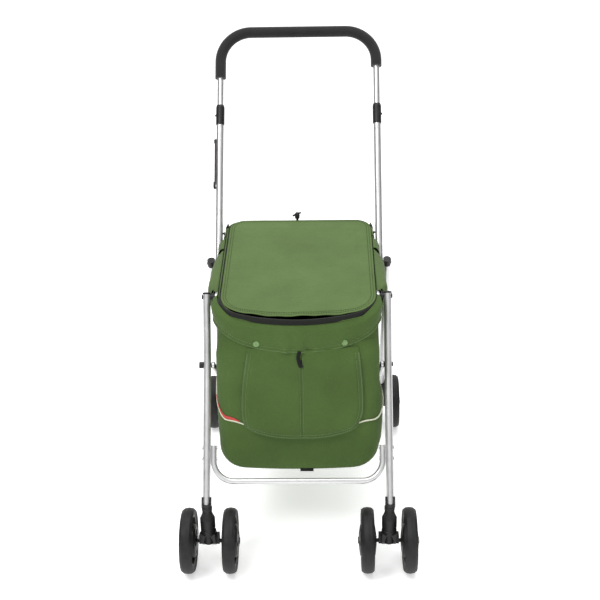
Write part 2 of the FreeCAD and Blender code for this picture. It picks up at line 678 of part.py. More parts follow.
def bag_body(grow):
    """The bag's closed shape: a boxy body, and a top whose front is bowed."""
    waist = BAG_WAIST + grow
    body = plan_prism(BODY_NOSE, grow, 100, waist).fuse(plan_prism(RIM_NOSE, grow, waist, 680))
    return body.common(end_profile(grow)).common(side_profile(grow))


def plan_ring(nose, outside, inside):
    return plan_prism(nose, outside, 250, 680).cut(plan_prism(nose, inside, 240, 690))


save("bag_shell", bag_body(0).cut(bag_body(-BAG_WALL)).cut(above_rim(0)))
rim_ring = plan_ring(RIM_NOSE, 0.7, -7.0).common(above_rim(0.05)).cut(above_rim(RIM_HIGH))
save("bag_rim", rim_ring)

board = Part.makeBox(2 * 106, BAG_BACK - BAG_FRONT - 70, 3, Vector(-106, BAG_FRONT + 35, BAG_FLOOR + BAG_WALL + 0.2))
save("bag_board", board)

cover = plan_prism(RIM_NOSE, -4.0, 500, 700)
cover = cover.common(above_rim(RIM_HIGH + 0.6)).cut(above_rim(RIM_HIGH + 0.6 + COVER_THICK))
cover_depth = COVER_BACK - COVER_FRONT
cover_outline = Part.makeBox(2 * COVER_HALF, cover_depth, 300, Vector(-COVER_HALF, COVER_FRONT, 450))
front_corners = [edge for edge in cover_outline.Edges
                 if edge.BoundBox.ZLength > 299 and edge.BoundBox.YMax < COVER_FRONT + 1]
cover_outline = cover_outline.makeFillet(86.0, front_corners)
save("bag_cover", cover.common(cover_outline))

flap_zone = Part.makeBox(400, FLAP_BACK - 60, RIM_FRONT_Z - 0.6 - FLAP_HEM_Z, Vector(-200, 60, FLAP_HEM_Z))
flap = plan_ring(RIM_NOSE, FLAP_GAP + FLAP_THICK, FLAP_GAP).common(flap_zone)
save("front_flap", flap)
snaps = []
for snap_x in SNAP_X:
    snap_face = rim_nose_y(snap_x, FLAP_GAP + FLAP_THICK)
    snaps.append(Part.makeCylinder(6.5, 2.0, Vector(snap_x, snap_face, 477), Vector(0, -1, 0)))
save("flap_snaps", Part.makeCompound(snaps).cut(flap))

pocket_zone = Part.makeBox(POCKET_RIGHT - POCKET_LEFT, 60, BAG_WAIST - 274, Vector(POCKET_LEFT, 60, 270))
pocket_edges = [edge for edge in pocket_zone.Edges
                if edge.BoundBox.YLength > 59 and edge.BoundBox.ZMax < 271]
pocket_zone = pocket_zone.makeFillet(30.0, pocket_edges)
save("front_pocket", plan_ring(BODY_NOSE, 4.0, 0.3).common(pocket_zone))

# the cover's lifting tab stands up behind the rim
toggle_y = BAG_BACK + 3.4
toggle_z = rim_height(BAG_BACK)
toggle = Part.makeBox(6, 2.2, 38, Vector(-8, toggle_y - 1.1, toggle_z - 20))
toggle = toggle.fuse(rod(Vector(-14, toggle_y, toggle_z + 16), Vector(4, toggle_y, toggle_z + 25), 3.0))
save("rear_toggle", toggle.removeSplitter())
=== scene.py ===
import json
import math

import bmesh
import bpy
from mathutils import Matrix, Vector, noise


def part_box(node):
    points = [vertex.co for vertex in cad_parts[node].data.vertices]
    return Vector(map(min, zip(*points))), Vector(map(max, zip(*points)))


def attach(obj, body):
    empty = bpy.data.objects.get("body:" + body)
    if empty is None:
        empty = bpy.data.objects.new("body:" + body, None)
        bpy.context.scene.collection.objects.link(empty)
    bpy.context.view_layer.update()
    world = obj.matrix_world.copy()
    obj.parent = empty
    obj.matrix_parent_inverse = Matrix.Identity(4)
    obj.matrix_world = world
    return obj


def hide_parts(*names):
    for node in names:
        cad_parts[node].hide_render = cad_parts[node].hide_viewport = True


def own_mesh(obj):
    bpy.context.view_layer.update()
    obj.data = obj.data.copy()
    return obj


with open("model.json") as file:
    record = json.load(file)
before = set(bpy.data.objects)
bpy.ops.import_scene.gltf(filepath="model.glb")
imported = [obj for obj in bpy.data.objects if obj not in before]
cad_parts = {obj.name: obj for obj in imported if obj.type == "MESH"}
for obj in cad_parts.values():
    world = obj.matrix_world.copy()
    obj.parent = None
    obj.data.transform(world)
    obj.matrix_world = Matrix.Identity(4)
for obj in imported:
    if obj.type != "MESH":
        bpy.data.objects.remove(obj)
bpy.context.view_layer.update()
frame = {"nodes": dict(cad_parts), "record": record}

MM = 0.001
FRAME_BODY = "front_frame"
SIDES = (("left", -1), ("right", 1))
CURVE_STEPS = 24    # straight steps in each span of a curve


# ---------------------------------------------------------------- materials
def set_inputs(node, **values):
    """Set a node's inputs by name, with _ standing for a space."""
    for name, value in values.items():
        node.inputs[name.replace("_", " ")].default_value = value


def new_node(tree, kind, **values):
    node = tree.nodes.new("ShaderNode" + kind)
    set_inputs(node, **values)
    return node


def link(tree, output, node, name):
    tree.links.new(output, node.inputs[name])


def new_material(name, color, roughness, metallic=0.0, sheen=0.0, specular=0.5):
    material = bpy.data.materials.new(name)
    material.use_nodes = True
    shader = material.node_tree.nodes["Principled BSDF"]
    set_inputs(shader, Base_Color=(*color, 1), Roughness=roughness, Metallic=metallic,
               Specular_IOR_Level=specular, Sheen_Weight=sheen, Sheen_Roughness=0.45)
    return material, material.node_tree, shader


def object_coordinates(tree, scale=(1, 1, 1)):
    mapping = new_node(tree, "Mapping", Scale=scale)
    link(tree, new_node(tree, "TexCoord").outputs["Object"], mapping, "Vector")
    return mapping.outputs["Vector"]


def noise_node(tree, vector, scale, detail, roughness=0.55):
    node = new_node(tree, "TexNoise", Scale=scale, Detail=detail, Roughness=roughness)
    link(tree, vector, node, "Vector")
    return node.outputs["Fac"]


def ramp_node(tree, factor, stops):
    node = new_node(tree, "ValToRGB")
    ramp = node.color_ramp
    ramp.elements[0].position, ramp.elements[0].color = stops[0][0], (*stops[0][1], 1)
    ramp.elements[1].position, ramp.elements[1].color = stops[-1][0], (*stops[-1][1], 1)
    for position, color in stops[1:-1]:
        ramp.elements.new(position).color = (*color, 1)
    link(tree, factor, node, "Fac")
    return node.outputs["Color"]


def bump_node(tree, height, strength, distance, below=None):
    node = new_node(tree, "Bump", Strength=strength, Distance=distance)
    link(tree, height, node, "Height")
    if below is not None:
        link(tree, below, node, "Normal")
    return node.outputs["Normal"]


def wave_node(tree, vector, direction, scale):
    node = new_node(tree, "TexWave", Scale=scale, Distortion=0.0)
    node.wave_type = "BANDS"
    node.bands_direction = direction
    link(tree, vector, node, "Vector")
    return node.outputs["Fac"]


def math_node(tree, operation, first, second):
    node = new_node(tree, "Math")
    node.operation = operation
    for socket, value in zip(node.inputs, (first, second)):
        if isinstance(value, (int, float)):
            socket.default_value = value
        else:
            tree.links.new(value, socket)
    return node.outputs["Value"]


def shade(color, factor):
    return tuple(channel * factor for channel in color)


def woven_fabric(name, color, pitch=0.0011, sheen=0.06):
    """Coated polyester: a fine plain weave along all three axes, and soft cloudy colour."""
    material, tree, shader = new_material(name, color, 0.80, sheen=sheen, specular=0.15)
    vector = object_coordinates(tree)
    clouds = noise_node(tree, vector, 9.0, 4.0)
    fine = noise_node(tree, vector, 420.0, 2.0)
    tint = ramp_node(tree, clouds, [(0.3, shade(color, 0.90)), (0.7, shade(color, 1.10))])
    speckle = ramp_node(tree, fine, [(0.3, (0.86,) * 3), (0.7, (1.0,) * 3)])
    mix = new_node(tree, "MixRGB", Fac=1.0)
    mix.blend_type = "MULTIPLY"
    link(tree, tint, mix, "Color1")
    link(tree, speckle, mix, "Color2")
    link(tree, mix.outputs["Color"], shader, "Base Color")
    waves = 1.0 / pitch / 20.0 * math.pi
    across, upward, back = [wave_node(tree, vector, axis, waves) for axis in "XZY"]
    weave = math_node(tree, "ADD", across, math_node(tree, "ADD", upward, back))
    crease = noise_node(tree, vector, 28.0, 5.0, 0.6)
    normal = bump_node(tree, crease, 0.42, 0.006)
    normal = bump_node(tree, weave, 0.22, 0.0002, normal)
    link(tree, normal, shader, "Normal")
    return material


def drawn_tube(name, color):
    """Satin anodised aluminium with faint draw lines along the tube and small handling marks."""
    material, tree, shader = new_material(name, color, 0.36, metallic=0.82)
    vector = object_coordinates(tree)
    lines = noise_node(tree, object_coordinates(tree, (900, 900, 25)), 1.0, 2.0)
    marks = noise_node(tree, vector, 60.0, 4.0, 0.7)
    tint = ramp_node(tree, marks, [(0.35, shade(color, 0.93)), (0.65, color)])
    link(tree, tint, shader, "Base Color")
    rough = ramp_node(tree, marks, [(0.3, (0.30,) * 3), (0.75, (0.44,) * 3)])
    link(tree, rough, shader, "Roughness")
    link(tree, bump_node(tree, lines, 0.08, 0.0003), shader, "Normal")
    return material


def moulded_plastic(name, color, roughness=0.42, grain=650.0, dust=1.35, patches=40.0):
    """Injection-moulded plastic with a fine spark-eroded grain and dulled high spots."""
    material, tree, shader = new_material(name, color, roughness, specular=0.28)
    vector = object_coordinates(tree)
    pits = noise_node(tree, vector, grain, 2.0)
    wear = noise_node(tree, vector, patches, 5.0, 0.65)
    link(tree, ramp_node(tree, wear, [(0.35, color), (0.75, shade(color, dust))]), shader, "Base Color")
    rough = ramp_node(tree, wear, [(0.3, (roughness - 0.06,) * 3), (0.8, (roughness + 0.14,) * 3)])
    link(tree, rough, shader, "Roughness")
    link(tree, bump_node(tree, pits, 0.16, 0.0003), shader, "Normal")
    return material


def foam_rubber(name, color):
    """Closed-cell foam: tiny open pores in a matt skin."""
    material, tree, shader = new_material(name, color, 0.86, sheen=0.2, specular=0.3)
    vector = object_coordinates(tree)
    cells = new_node(tree, "TexVoronoi", Scale=900.0)
    link(tree, vector, cells, "Vector")
    clouds = noise_node(tree, vector, 35.0, 3.0)
    tint = ramp_node(tree, clouds, [(0.3, shade(color, 0.85)), (0.75, shade(color, 1.25))])
    link(tree, tint, shader, "Base Color")
    normal = bump_node(tree, clouds, 0.15, 0.001)
    normal = bump_node(tree, cells.outputs["Distance"], 0.35, 0.0003, normal)
    link(tree, normal, shader, "Normal")
    return material


def plated_steel(name, color):
    """Bright plating with a light haze."""
    material, tree, shader = new_material(name, color, 0.3, metallic=0.95)
    haze = noise_node(tree, object_coordinates(tree), 180.0, 4.0, 0.7)
    link(tree, ramp_node(tree, haze, [(0.3, shade(color, 0.8)), (0.7, color)]), shader, "Base Color")
    link(tree, bump_node(tree, haze, 0.05, 0.0004), shader, "Normal")
    return material


# the cover's green is the front fabric's green painted lighter: a painted highlight for the light falling
# on the upward-facing top
FRONT_GREEN = (0.061, 0.108, 0.027)
TOP_GREEN_PAINTED_LIGHTER = (0.091, 0.145, 0.048)
fabric = woven_fabric("green_fabric", FRONT_GREEN)
cover_fabric_painted_lighter = woven_fabric("cover_fabric_painted_lighter", TOP_GREEN_PAINTED_LIGHTER)
# the sleeves take the painted-lighter top green, a little darker
sleeve_fabric = woven_fabric("sleeve_fabric", shade(TOP_GREEN_PAINTED_LIGHTER, 0.92))
# the edging cord's lighter green is built on the painted-lighter top green
edge_fabric = woven_fabric("edging_fabric", shade(TOP_GREEN_PAINTED_LIGHTER, 1.5), pitch=0.0008)
# the edging cords are the front green painted lighter: partly their own lighter tone, partly a painted
# highlight where the rolled hems catch the light
seam_fabric = woven_fabric("seam_fabric", (0.085, 0.140, 0.050), pitch=0.0008)
thread = woven_fabric("thread", (0.150, 0.222, 0.100), pitch=0.0006)
cover_thread = woven_fabric("cover_thread", shade(TOP_GREEN_PAINTED_LIGHTER, 0.72), pitch=0.0006)
binding = woven_fabric("binding", (0.012, 0.013, 0.011), pitch=0.0016, sheen=0.15)
cream = woven_fabric("cream_piping", (0.60, 0.62, 0.48), pitch=0.0008)
red_tape = woven_fabric("red_tape", (0.50, 0.07, 0.06), pitch=0.0008)
webbing = woven_fabric("black_webbing", (0.008, 0.009, 0.008), pitch=0.0012, sheen=0.1)
lining = woven_fabric("lining", (0.03, 0.035, 0.028), pitch=0.0012)
tube = drawn_tube("silver_tube", (0.60, 0.60, 0.60))
black = moulded_plastic("black_plastic", (0.009, 0.009, 0.009))
tyre_rubber = moulded_plastic("tyre", (0.004, 0.004, 0.004), roughness=0.55, grain=420.0,
                              dust=6.0, patches=22.0)
wheel_plastic = moulded_plastic("wheel_plastic", (0.0035, 0.0035, 0.004), roughness=0.42)
foam = foam_rubber("foam", (0.010, 0.010, 0.010))
steel = plated_steel("steel", (0.62, 0.62, 0.63))
snap_plastic = moulded_plastic("snap", (0.13, 0.22, 0.085), roughness=0.35)

CAD_FINISH = {
    "silver_tube": tube, "steel": steel, "black_plastic": black, "tyre": tyre_rubber, "foam": foam,
    "green_fabric": fabric, "binding": binding, "snap": snap_plastic, "board": lining,
}
slot_of = {part["node"]: part["material_slot"] for part in frame["record"]["subparts"]}
for node, obj in frame["nodes"].items():
    finish = CAD_FINISH[slot_of[node]]
    if "wheel" in node and slot_of[node] != "tyre":
        finish = wheel_plastic
    if node.startswith("caster_axle"):
        finish = black
    obj.data.materials.clear()
    obj.data.materials.append(finish)


# ---------------------------------------------------------------- mesh helpers
def mesh_piece(name, points, faces, material, smooth=True):
    mesh = bpy.data.meshes.new(name)
    mesh.from_pydata([tuple(p) for p in points], [], faces)
    mesh.validate()
    piece = bpy.data.objects.new(name, mesh)
    bpy.context.collection.objects.link(piece)
    mesh.materials.append(material)
    build = bmesh.new()
    build.from_mesh(mesh)
    bmesh.ops.recalc_face_normals(build, faces=build.faces)
    build.to_mesh(mesh)
    build.free()
    mesh.polygons.foreach_set("use_smooth", [smooth] * len(mesh.polygons))
    return piece


def grid_faces(rows, columns, closed_columns=False, closed_rows=False):
    faces = []
    for r in range(rows if closed_rows else rows - 1):
        for c in range(columns if closed_columns else columns - 1):
            nr, nc = (r + 1) % rows, (c + 1) % columns
            faces.append((r * columns + c, r * columns + nc, nr * columns + nc, nr * columns + c))
    return faces


def thicken(piece, thickness, offset=0.0, levels=0):
    """Give a sheet its thickness, round it off if asked, and keep the result as its mesh."""
    solid = piece.modifiers.new("thickness", "SOLIDIFY")
    solid.thickness = thickness
    solid.offset = offset
    if levels:
        smooth = piece.modifiers.new("smooth", "SUBSURF")
        smooth.levels = levels
        smooth.render_levels = levels
    graph = bpy.context.evaluated_depsgraph_get()
    mesh = bpy.data.meshes.new_from_object(piece.evaluated_get(graph))
    piece.modifiers.clear()
    piece.data = mesh
    return piece


def smooth_path(points, spacing, closed=False):
    """Points at even spacing along a Catmull-Rom curve through the given ones."""
    points = [Vector(p) for p in points]
    count = len(points)
    dense = []
    spans = count if closed else count - 1
    for i in range(spans):
        p1, p2 = points[i], points[(i + 1) % count]
        p0 = points[i - 1] if (closed or i > 0) else p1 * 2 - p2
        p3 = points[(i + 2) % count] if (closed or i + 2 < count) else p2 * 2 - p1
        for step in range(CURVE_STEPS):
            t = step / CURVE_STEPS
            dense.append(0.5 * ((2 * p1) + (p2 - p0) * t + (2 * p0 - 5 * p1 + 4 * p2 - p3) * t * t
                                + (3 * p1 - p0 - 3 * p2 + p3) * t * t * t))
    dense.append(points[0].copy() if closed else points[-1])
    lengths = [0.0]
    for a, b in zip(dense, dense[1:]):
        lengths.append(lengths[-1] + (b - a).length)
    steps = max(2, round(lengths[-1] / spacing))
    result, at = [], 0
    for step in range(steps if closed else steps + 1):
        target = lengths[-1] * step / steps
        while at < len(lengths) - 2 and lengths[at + 1] < target:
            at += 1
        span = lengths[at + 1] - lengths[at] or 1
        result.append(dense[at].lerp(dense[at + 1], (target - lengths[at]) / span))
    return result


def sweep(name, path, section, material, up=Vector((0, 0, 1)), closed=False, scale=None):
    """A closed section of (side, up) pairs carried along a path; ends are capped."""
    rings = []
    count = len(path)
    for i, point in enumerate(path):
        ahead = path[(i + 1) % count] if (closed or i + 1 < count) else point
        behind = path[i - 1] if (closed or i > 0) else point
        along = (ahead - behind).normalized()
        side = along.cross(up)
        side = side.normalized() if side.length > 1e-6 else Vector((1, 0, 0))
        lift = side.cross(along).normalized()
        grow = scale(i / max(1, count - 1)) if scale else 1.0
        rings.append([point + side * (a * grow) + lift * (b * grow) for a, b in section])
    size = len(section)
    points = [p for ring in rings for p in ring]
    faces = grid_faces(len(rings), size, closed_columns=True, closed_rows=closed)
    if not closed:
        faces.append(tuple(reversed(range(size))))
        faces.append(tuple(range((len(rings) - 1) * size, len(rings) * size)))
    return mesh_piece(name, points, faces, material)


def turns(count):
    return [2 * math.pi * i / count for i in range(count)]


def round_section(radius, count):
    return [(radius * math.cos(a), radius * math.sin(a)) for a in turns(count)]


def signed_power(value, power):
    return math.copysign(abs(value) ** power, value)


def lathe(name, profile, centre, material, axis, count):
    """Turn an open profile of (along, radius) pairs about axis 1 (Y) or 2 (Z) through centre."""
    points = []
    for angle in turns(count):
        for along, radius in profile:
            spoke = [radius * math.cos(angle), radius * math.sin(angle)]
            spoke.insert(axis, along)
            points.append([a + b for a, b in zip(centre, spoke)])
    return mesh_piece(name, points, grid_faces(count, len(profile), closed_rows=True), material)


def join(name, pieces):
    bpy.ops.object.select_all(action="DESELECT")
    for piece in pieces:
        piece.select_set(True)
    bpy.context.view_layer.objects.active = pieces[0]
    bpy.ops.object.join()
    pieces[0].name = name
    pieces[0].data.name = name
    return pieces[0]


def stitches(name, path, outward, material=None):
    """A row of thread stitches lying on a surface; outward(point) gives its normal."""
    length, gap, width = 0.0034, 0.0016, 0.0007
    points, faces = [], []
    rows = smooth_path(path, length + gap)
    for a, b in zip(rows, rows[1:]):
        along = (b - a).normalized()
        normal = outward(a).normalized()
        side = along.cross(normal).normalized()
        start = a + along * (gap / 2)
        end = b - along * (gap / 2)
        middle = (start + end) / 2 + normal * (width * 0.8)
        base = len(points)
        for centre, half in ((start, 0.35), (middle, 1.0), (end, 0.35)):
            points += [centre + side * (width * half), centre + normal * (width * half * 0.9),
                       centre - side * (width * half), centre - normal * (width * 0.5)]
        for ring in range(2):
            for c in range(4):
                faces.append((base + ring * 4 + c, base + ring * 4 + (c + 1) % 4,
                              base + ring * 4 + 4 + (c + 1) % 4, base + ring * 4 + 4 + c))
        faces.append((base + 3, base + 2, base + 1, base))
        faces.append((base + 8, base + 9, base + 10, base + 11))
    return mesh_piece(name, points, faces, material or thread)


def ripple(x, y, z):
    return noise.noise(Vector((x, y, z)))


def bell(distance, width):
    return math.exp(-(distance / width) ** 2)


def smooth_step(low, high, value):
    share = min(1.0, max(0.0, (value - low) / (high - low)))
    return share * share * (3 - 2 * share)


# ---------------------------------------------------------------- the bag's shape
shell_low, shell_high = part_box("bag_shell")
HALF = shell_high.x
FRONT, BACK = shell_low.y, shell_high.y
FLOOR = shell_low.z
cover_low, cover_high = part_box("bag_cover")
RIM_FRONT = 521 * MM        # the wall's top at the front; it climbs towards the back
SLOPE = math.tan(math.radians(10.2))
RIM_NOSE = (324 * MM, 70 * MM)      # radii of the plan's bowed front and of its corners
BODY_NOSE = (1500 * MM, 30 * MM)
REAR_CORNER = 32 * MM
FLOOR_CURVE = (42 * MM, 40 * MM)    # how far the floor's side edges curve in, and up
FLOOR_LIP = 14 * MM
SHIFT = 7 * MM              # the bag's front features sit a little right of the middle
AROUND = 200                # columns round the bag
MIDDLE = (FRONT + BACK) / 2


def depth(distance):
    """A place's y, from the side plane in which the frame was laid out."""
    return (distance - 320) * MM


def outline(half, front, back, nose, corner, rear, count=AROUND):
    """Places and outward directions round a plan: bowed front, straight sides, round back corners.

    They are evenly spaced, and start at the middle of the front and run to the right."""
    across = half - corner
    centre = front + nose - math.sqrt((nose - corner) ** 2 - across ** 2)
    turn = math.asin(across / (nose - corner))
    runs = [nose * turn, corner * (math.pi / 2 - turn), back - rear - centre,
            rear * math.pi / 2, half - rear]
    right = []
    for step in range(count // 2 + 1):
        left = sum(runs) * step / (count // 2)
        index = 0
        while index < 4 and left > runs[index]:
            left -= runs[index]
            index += 1
        if index == 0:
            angle = left / nose
            place = (nose * math.sin(angle), front + nose - nose * math.cos(angle))
            outward = (math.sin(angle), -math.cos(angle))
        elif index == 1:
            angle = turn + left / corner
            place = (across + corner * math.sin(angle), centre - corner * math.cos(angle))
            outward = (math.sin(angle), -math.cos(angle))
        elif index == 2:
            place, outward = (half, centre + left), (1, 0)
        elif index == 3:
            angle = left / rear
            place = (half - rear + rear * math.cos(angle), back - rear + rear * math.sin(angle))
            outward = (math.cos(angle), math.sin(angle))
        else:
            place, outward = (half - rear - left, back), (0, 1)
        right.append((Vector((*place, 0)), Vector((*outward, 0))))
    left_half = [(Vector((-p.x, p.y, 0)), Vector((-n.x, n.y, 0))) for p, n in reversed(right[1:-1])]
    return right + left_half


def girth(plan):
    return sum((plan[i][0] - plan[i - 1][0]).length for i in range(AROUND))


RIM_PLAN = outline(HALF, FRONT, BACK, *RIM_NOSE, REAR_CORNER)
BODY_PLAN = outline(HALF, FRONT, BACK, *BODY_NOSE, REAR_CORNER)
GIRTH = girth(BODY_PLAN)


def along_plan(plan, share):
    place = (share % 1.0) * AROUND
    index = int(place)
    part = place - index
    (p, n), (q, m) = plan[index % AROUND], plan[(index + 1) % AROUND]
    return p.lerp(q, part), n.lerp(m, part).normalized()


def wall_top(y):
    return RIM_FRONT + (y - FRONT) * SLOPE


def round_about(share):
    """Distance round the bag from the middle of its front, less than nothing on the left."""
    share = (share + 0.5) % 1.0 - 0.5
    return share * GIRTH


def side_limit(y, z):
    """The widest that the bag may be beside the frame's links, at a place."""
    beside_links = 168.3 * MM
    beside_leg = 9.5 * MM * (1 - smooth_step(depth(118), depth(150), y))
    beside_leg *= 1 - smooth_step(345 * MM, 384 * MM, z)
    near_rail = 4.9 * MM * smooth_step(488 * MM, 512 * MM, z)
    near_rail *= 1 - smooth_step(556 * MM, 580 * MM, z)
    return beside_links + beside_leg - near_rail


def swell(place, outward, z):
    """How far the fabric wall stands out at a place: fullness, slack and small creases."""
    up = (z - FLOOR) / (wall_top(place.y) - FLOOR)
    ease = min(1.0, max(0.0, up * 7), max(0.0, (1 - up) * 8))
    fullness = 2.6 * math.sin(math.pi * min(1, max(0, up))) ** 0.7
    slack = ripple(place.x * 7, place.y * 7, z * 4 + 3) * 2.4
    crease = ripple(place.x * 24 + 3, place.y * 24, z * 10) * 1.0
    drape = ripple(place.x * 6, place.y * 6, z * 34 + 8) * 1.1
    drape *= 1 - smooth_step(250 * MM, 330 * MM, z)
    forward = 1 - smooth_step(depth(150), depth(300), place.y)
    low = bell(z - 300 * MM, 85 * MM)
    beside = max(0.0, abs(outward.x) - 0.25) / 0.75 * forward * min(1.0, max(0.0, up * 5))
    wide = (6 + 5 * low) * beside if outward.x > 0 else (2.5 + 1.0 * low) * beside
    return (fullness + wide + (slack + crease + drape) * ease) * MM


def wall_point(share, z, out=0.0):
    """A point on the bag's outer wall and its outward direction, at a height."""
    body_place, body_out = along_plan(BODY_PLAN, share)
    rim_place, rim_out = along_plan(RIM_PLAN, share)
    upper = smooth_step(437 * MM, 484 * MM, z)
    place = body_place.lerp(rim_place, upper)
    outward = body_out.lerp(rim_out, upper).normalized()
    rise = max(0.0, z - FLOOR)
    low = 1 - min(1.0, rise / FLOOR_CURVE[1])
    inset = FLOOR_CURVE[0] * (1 - math.sqrt(1 - low * low))
    lip = 1 - min(1.0, rise / FLOOR_LIP)
    inset_end = FLOOR_LIP * (1 - math.sqrt(1 - lip * lip))
    amount = swell(place, outward, z) + out
    place.x *= (HALF - inset) / HALF
    place.y = MIDDLE + (place.y - MIDDLE) * (1 - inset_end / (MIDDLE - FRONT))
    place += outward * amount
    limit = side_limit(place.y, z) + max(0.0, out)
    place.x = max(-limit, min(limit, place.x))
    place.z = z
    return place, outward


def seam_height(share):
    """The piped seam runs low across the front, climbs at the corners and is level behind."""
    reach = abs(round_about(share) - SHIFT * 0.6)
    corner = 22 * smooth_step(70 * MM, 150 * MM, reach)
    flank = 85 * smooth_step(150 * MM, 212 * MM, reach)
    return (280 + corner + flank) * MM


def finish_piece(piece, body, nodes=(), folds=True):
    """Hang a piece on the body that it rides on and hide the parts that it stands for; the bag's pieces
    get meshes of their own.
    """
    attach(piece, body)
    if nodes:
        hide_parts(*nodes)
    if folds:
        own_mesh(piece)


# ---------------------------------------------------------------- bag body
def bag_body():
    points = []
    heights = [FLOOR + h * MM for h in (0, 1, 3, 6, 10, 14, 20, 28, 38, 50, 62)]
    rows = 56
    for row in range(len(heights) + rows):
        for column in range(AROUND):
            share = column / AROUND
            if row < len(heights):
                z = heights[row]
            else:
                top = wall_top(RIM_PLAN[column][0].y)
                z = heights[-1] + (top - heights[-1]) * (row - len(heights) + 1) / rows
            point, outward = wall_point(share, z)
            # the seam pulls the fabric in along a narrow line, and the back corners carry a seam as well
            point -= outward * (1.6 * MM * bell(z - seam_height(share), 4.5 * MM))
            corner = abs(abs(round_about(share)) - (GIRTH / 2 - 140 * MM))
            point -= outward * (1.2 * MM * bell(corner, 4 * MM))
            points.append(point)
    faces = grid_faces(len(heights) + rows, AROUND, closed_columns=True)
    ring = list(range(AROUND))
    base = [points[i].copy() for i in ring]
    centre = Vector((0, MIDDLE, FLOOR))
    for scale in (0.85, 0.6, 0.3):
        start = len(points)
        points += [centre + (p - centre) * scale for p in base]
        for c in range(AROUND):
            faces.append((ring[c], start + c, start + (c + 1) % AROUND, ring[(c + 1) % AROUND]))
        ring = list(range(start, start + AROUND))
    points.append(centre)
    for c in range(AROUND):
        faces.append((ring[c], len(points) - 1, ring[(c + 1) % AROUND]))
    return thicken(mesh_piece("bag_body", points, faces, fabric), 1.6 * MM, offset=-1.0)


body = bag_body()


def floor_board():
    board_low, board_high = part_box("bag_board")
    count, corner = 80, 22 * MM
    plan = outline(board_high.x, board_low.y, board_high.y, BODY_NOSE[0], corner, corner, count)
    points = [Vector((p.x, p.y, z)) for z in (board_low.z, board_high.z) for p, _ in plan]
    faces = grid_faces(2, count, closed_columns=True)
    faces += [tuple(reversed(range(count))), tuple(range(count, 2 * count))]
    return mesh_piece("floor_board", points, faces, lining, smooth=False)


def piping():
    steps = 260
    path = [wall_point(i / steps, seam_height(i / steps), 0.8 * MM)[0] for i in range(steps)]
    return sweep("piping", path, round_section(1.7 * MM, 8), cream, closed=True)


def red_trim():
    """A short red strip shows above the piping at the front left corner."""
    points = []
    first, last = -177 * MM / GIRTH, -121 * MM / GIRTH
    for i in range(31):
        share = first + (last - first) * i / 30
        tall = 7.0 * math.sin(math.pi * (0.03 + 0.94 * i / 30)) ** 0.6
        low, outward = wall_point(share, seam_height(share) + 1.8 * MM, 0.9 * MM)
        high, _ = wall_point(share, seam_height(share) + (2.0 + tall) * MM, 0.8 * MM)
        points += [low, (low + high) / 2 + outward * (0.6 * MM), high]
    return thicken(mesh_piece("red_trim", points, grid_faces(31, 3), red_tape), 0.8 * MM)


# ---------------------------------------------------------------- rim, cover
def rim_path(inward, height):
    """A line along the rim from side to side past its front, inside its face and above the wall."""
    path = []
    for place, outward in RIM_PLAN[AROUND // 2:] + RIM_PLAN[:AROUND // 2]:
        if place.y > depth(462):
            continue
        point = place - outward * inward
        wave = 0.5 * MM * ripple(point.x * 14, point.y * 14, 2)
        path.append(Vector((point.x, point.y, wall_top(place.y) + height + wave)))
    return path


def rim_binding():
    """Black binding: deep in front, and narrow beside and behind, where a welt covers it."""
    count = 20
    section = [(signed_power(math.cos(a), 0.6), signed_power(math.sin(a), 0.7)) for a in turns(count)]
    points = []
    for place, outward in RIM_PLAN:
        back = smooth_step(depth(150), depth(205), place.y)
        wide, tall = (3.9 - 2.0 * back) * MM, (7.4 - 2.6 * back) * MM
        wave = 0.5 * MM * ripple(place.x * 14, place.y * 14, 2)
        centre = place - outward * ((3.6 + 2.3 * back) * MM)
        centre.z = wall_top(place.y) + (1.0 - 0.4 * back) * MM + wave
        points += [centre + outward * (a * wide) + Vector((0, 0, b * tall)) for a, b in section]
    faces = grid_faces(AROUND, count, closed_columns=True, closed_rows=True)
    return mesh_piece("rim_binding", points, faces, binding)


def side_welt():
    """A green welt stands along the bag's top edge beside and behind, outside the binding."""
    path = []
    for place, outward in RIM_PLAN + RIM_PLAN[:1]:
        if place.y > depth(176):
            point = place - outward * (1.6 * MM)
            path.append(Vector((point.x, point.y, wall_top(place.y) + 1.6 * MM)))
    section = [(1.7 * MM * math.cos(a), 5.2 * MM * signed_power(math.sin(a), 0.8)) for a in turns(14)]

    def taper(share):
        return 0.35 + 0.65 * smooth_step(0, 0.06, min(share, 1 - share))
    return sweep("side_welt", path, section, sleeve_fabric, scale=taper)


def edging_cord():
    """A thin green cord lies along the binding's inner edge."""
    return sweep("edging_cord", rim_path(9.3 * MM, 4.4 * MM), round_section(1.3 * MM, 10), edge_fabric)


COVER_SHIFT = 3.0 * MM
COVER_PLAN = outline(160 * MM, cover_low.y - 4 * MM, cover_high.y + 4.5 * MM, 500 * MM, 66 * MM, 36 * MM)
COVER_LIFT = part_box("bag_rim")[1].z - wall_top(BACK)


def cover_surface(place, inset):
    """Height of the cover's upper face: flat with slack in the middle, waved and rolled at its edge."""
    sag = ripple(place.x * 7, place.y * 7, 5) * 1.5
    sag += ripple(place.x * 20, place.y * 13, 9) * 0.55
    pull = ripple(place.x * 3, place.y * 26, 2) * 0.7
    front = 1 - smooth_step(cover_low.y, cover_low.y + 45 * MM, place.y)
    wave = (1.2 * math.sin(place.x * 48 + 0.6) + 0.8 * math.sin(place.x * 131)) * front
    wave *= 1 - 0.6 * smooth_step(0, 12 * MM, inset)
    edge = smooth_step(0, 6 * MM, inset)
    ridge = 0.7 * bell(inset - 7.7 * MM, 1.5 * MM)
    crown = 2.2 * smooth_step(10 * MM, 60 * MM, inset)
    rise = 0.6 + 1.2 * edge - ridge + crown + (sag + pull) * edge + wave
    return wall_top(place.y) + COVER_LIFT + rise * MM


